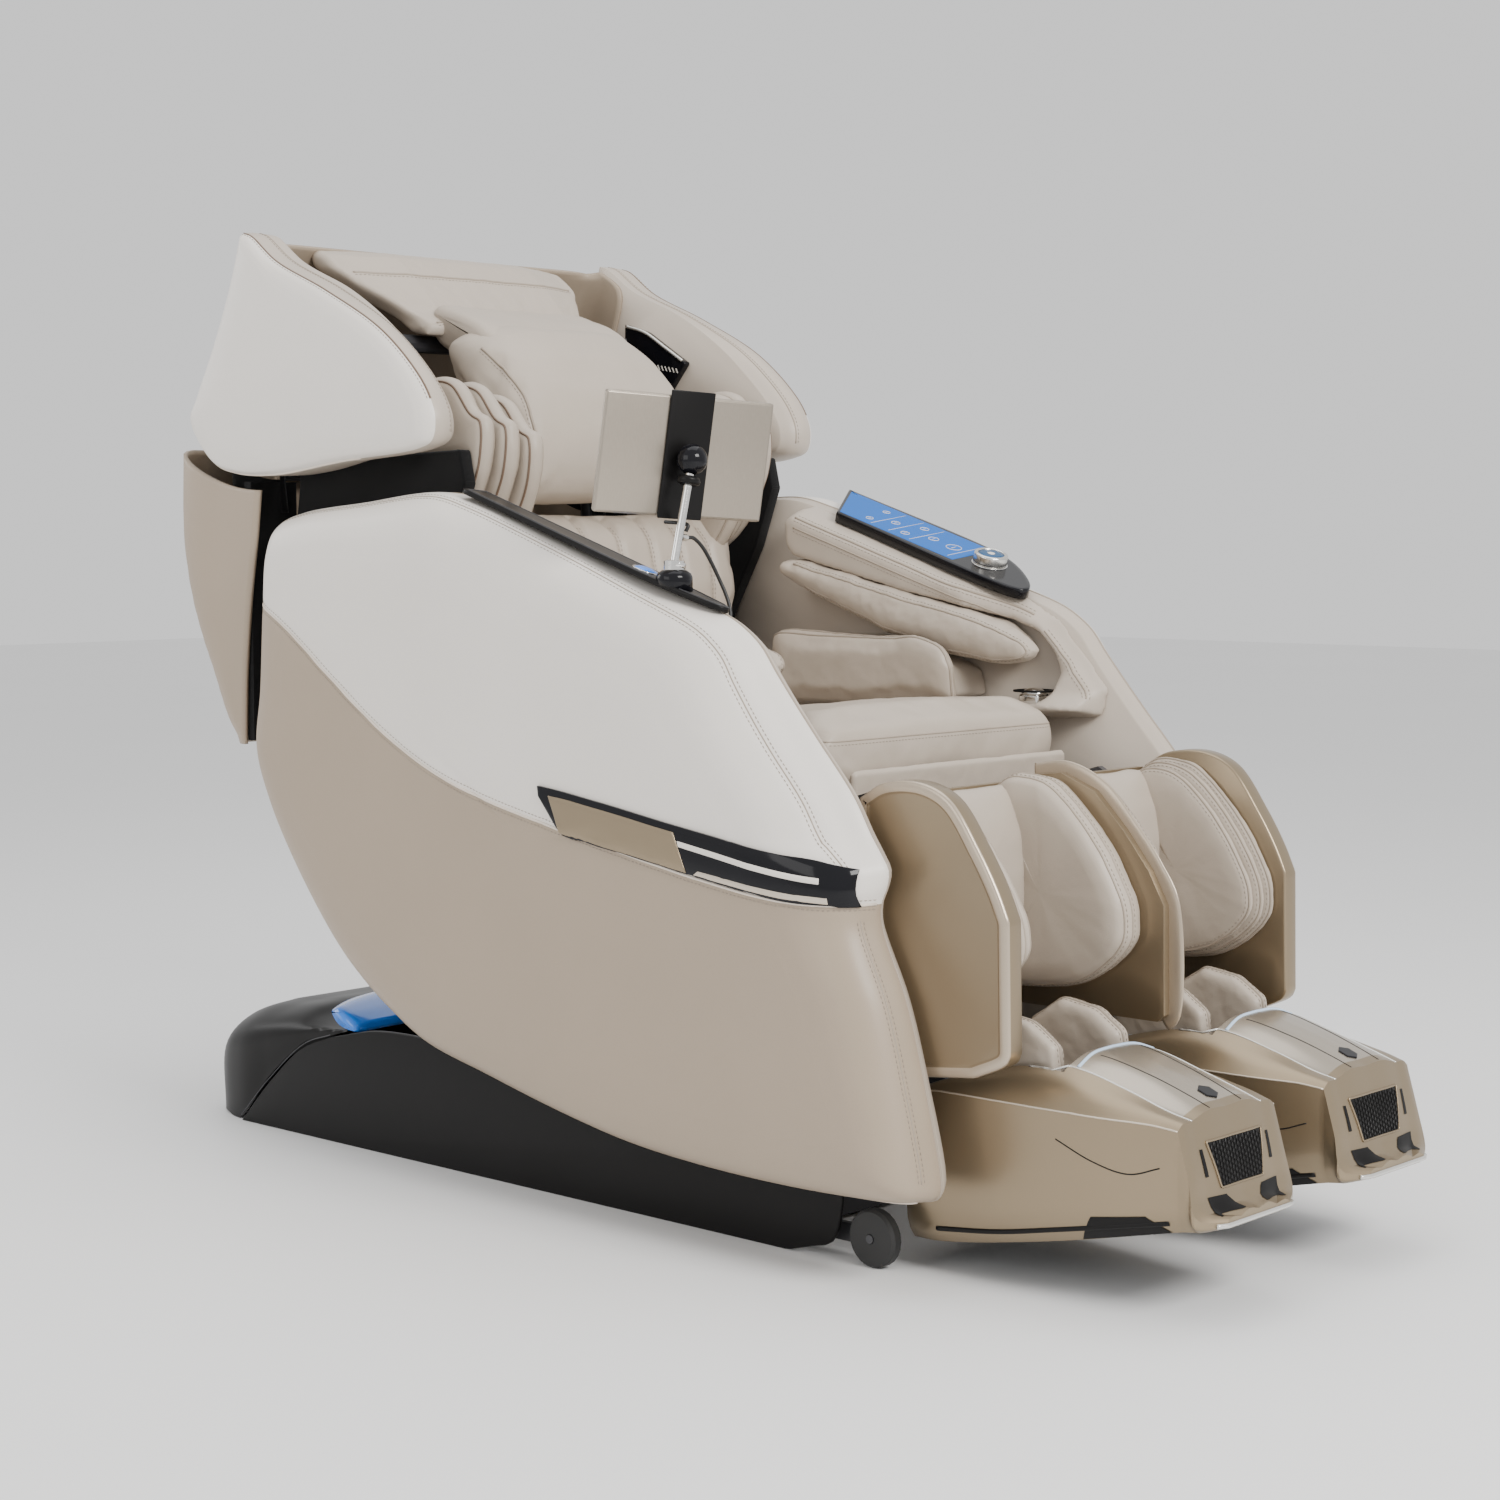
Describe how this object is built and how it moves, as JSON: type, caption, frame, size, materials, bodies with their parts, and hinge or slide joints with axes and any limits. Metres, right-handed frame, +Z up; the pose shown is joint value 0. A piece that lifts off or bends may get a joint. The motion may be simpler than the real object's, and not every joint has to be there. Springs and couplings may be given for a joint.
{
  "type": "massage chair",
  "caption": "Reclining massage chair with padded side panels, winged head rest, armrests, control panel, tablet stand, and a lifting leg rest with foot pods.",
  "frame": {"origin": "on the floor at the middle of the whole object's outline, on the underside of the base frame's middle cross beam", "axes": "+Z up, -Y the way the sitter faces, +X to the sitter's left"},
  "size_m": [0.7902, 1.643, 1.199],
  "materials": {
    "panel_leather": "soft sheen",
    "wing_leather": "soft sheen",
    "tan_leather": "soft sheen",
    "beige_leather": "soft sheen",
    "champagne_plastic": "satin metallic paint",
    "black_plastic": "satin",
    "dark_liner": "matt",
    "frame_steel": "satin black",
    "bright_chrome": "polished",
    "tablet_metal": "satin",
    "blue_lens": "gloss, translucent",
    "wheel_rubber": "matt",
    "lead_rubber": "matt",
    "works_plastic": "matt"
  },
  "bodies": {
    "base": {"base_frame": "frame_steel", "base_side_cover_left": "black_plastic", "base_side_cover_right": "black_plastic", "base_rear_cover": "black_plastic", "base_light_lens": "blue_lens", "power_inlet": "black_plastic"},
    "power_switch": {"power_switch": "black_plastic"},
    "wheel_left": {"wheel_left": "wheel_rubber"},
    "wheel_right": {"wheel_right": "wheel_rubber"},
    "carriage": {"seat_carriage": "frame_steel"},
    "seat": {"seat_frame": "frame_steel", "control_box": "works_plastic", "air_pump": "works_plastic", "recline_actuator": "works_plastic", "seat_cushion": "beige_leather", "front_flap": "beige_leather", "side_panel_left": "panel_leather", "side_panel_right": "panel_leather", "side_trim_left": "champagne_plastic", "side_trim_right": "champagne_plastic", "armrest_left": "beige_leather", "armrest_right": "beige_leather", "arm_pad_left": "beige_leather", "arm_pad_right": "beige_leather", "hip_pad_left": "beige_leather", "hip_pad_right": "beige_leather", "control_panel": "black_plastic", "arm_tray": "black_plastic", "tablet_lead": "lead_rubber"},
    "button_left": {"hand_button_left": "bright_chrome"},
    "button_right": {"hand_button_right": "bright_chrome"},
    "dial": {"dial_knob": "bright_chrome"},
    "mast": {"stand_rod": "bright_chrome", "tablet_lead_top": "lead_rubber"},
    "tablet_body": {"tablet": "tablet_metal", "tablet_clamp": "black_plastic"},
    "actuator_rod": {"recline_rod": "bright_chrome"},
    "back": {"back_frame": "frame_steel", "back_shell": "tan_leather", "wing_left": "wing_leather", "wing_right": "wing_leather", "back_liner": "dark_liner", "back_pad": "beige_leather", "pillow": "beige_leather", "head_flap": "beige_leather", "shoulder_pad_left": "beige_leather", "shoulder_pad_right": "beige_leather", "speaker_left": "black_plastic", "speaker_right": "black_plastic"},
    "roller_carrier": {"roller_carriage": "works_plastic"},
    "rollers": {"massage_rollers": "works_plastic"},
    "leg": {"leg_frame": "champagne_plastic", "calf_shell_left": "champagne_plastic", "calf_shell_right": "champagne_plastic", "calf_pad_left": "beige_leather", "calf_pad_right": "beige_leather"},
    "foot": {"foot_pod_left": "champagne_plastic", "foot_pod_right": "champagne_plastic", "ankle_pad_left": "beige_leather", "ankle_pad_right": "beige_leather"}
  },
  "joints": [
    {"name": "wheel_left_spin", "type": "hinge", "parent": "base", "child": "wheel_left", "pos_m": [0.278, -0.4145, 0.033], "axis": [1, 0, 0], "continuous": true},
    {"name": "wheel_right_spin", "type": "hinge", "parent": "base", "child": "wheel_right", "pos_m": [-0.278, -0.4145, 0.033], "axis": [1, 0, 0], "continuous": true},
    {"name": "power_switch_rock", "type": "hinge", "parent": "base", "child": "power_switch", "pos_m": [0.148, 0.8075, 0.05], "axis": [1, 0, 0], "range_deg": [0, 12]},
    {"name": "seat_slide", "type": "slide", "parent": "base", "child": "carriage", "axis": [0, -1, 0], "range_m": [0, 0.14]},
    {"name": "seat_tilt", "type": "hinge", "parent": "carriage", "child": "seat", "pos_m": [0, -0.1345, 0.2], "axis": [-1, 0, 0], "range_deg": [0, 10]},
    {"name": "dial_turn", "type": "hinge", "parent": "seat", "child": "dial", "pos_m": [0.31, -0.1145, 0.7542], "axis": [-0.1365, -0.3078, 0.9416], "continuous": true},
    {"name": "button_left_press", "type": "slide", "parent": "seat", "child": "button_left", "axis": [0, 0, -1], "range_m": [0, 0.004], "stiffness_N_per_m": 600},
    {"name": "button_right_press", "type": "slide", "parent": "seat", "child": "button_right", "axis": [0, 0, -1], "range_m": [0, 0.004], "stiffness_N_per_m": 600},
    {"name": "mast_swivel", "type": "hinge", "parent": "seat", "child": "mast", "pos_m": [-0.33, -0.158, 0.7685], "axis": [0, 0, 1], "range_deg": [-20, 60], "deforming": ["tablet_lead"]},
    {"name": "tablet_tilt", "type": "hinge", "parent": "mast", "child": "tablet_body", "pos_m": [-0.3, -0.158, 0.893], "axis": [0.9547, -0.2923, -0.0552], "range_deg": [-10, 25], "deforming": ["tablet_lead_top"]},
    {"name": "back_recline", "type": "hinge", "parent": "seat", "child": "back", "pos_m": [0, 0.2655, 0.42], "axis": [-1, 0, 0], "range_deg": [0, 30]},
    {"name": "recline_rod_slide", "type": "slide", "parent": "seat", "child": "actuator_rod", "axis": [0, -1, 0], "range_m": [0, 0.05]},
    {"name": "roller_slide", "type": "slide", "parent": "back", "child": "roller_carrier", "axis": [0, 0.1081, 0.9941], "range_m": [-0.05, 0.3]},
    {"name": "roller_spin", "type": "hinge", "parent": "roller_carrier", "child": "rollers", "pos_m": [0, 0.3973, 0.6994], "axis": [1, 0, 0], "continuous": true},
    {"name": "leg_lift", "type": "hinge", "parent": "seat", "child": "leg", "pos_m": [0, -0.3595, 0.495], "axis": [-1, 0, 0], "range_deg": [0, 75]},
    {"name": "foot_extend", "type": "slide", "parent": "leg", "child": "foot", "axis": [0, 0, -1], "range_m": [0, 0.1]}
  ],
  "couplings": [
    {"joint": "seat_slide", "follows": "seat_tilt", "m_per_rad": 0.8},
    {"joint": "recline_rod_slide", "follows": "back_recline", "m_per_rad": 0.075},
    {"joint": "foot_extend", "follows": "leg_lift", "m_per_rad": 0.0763}
  ]
}
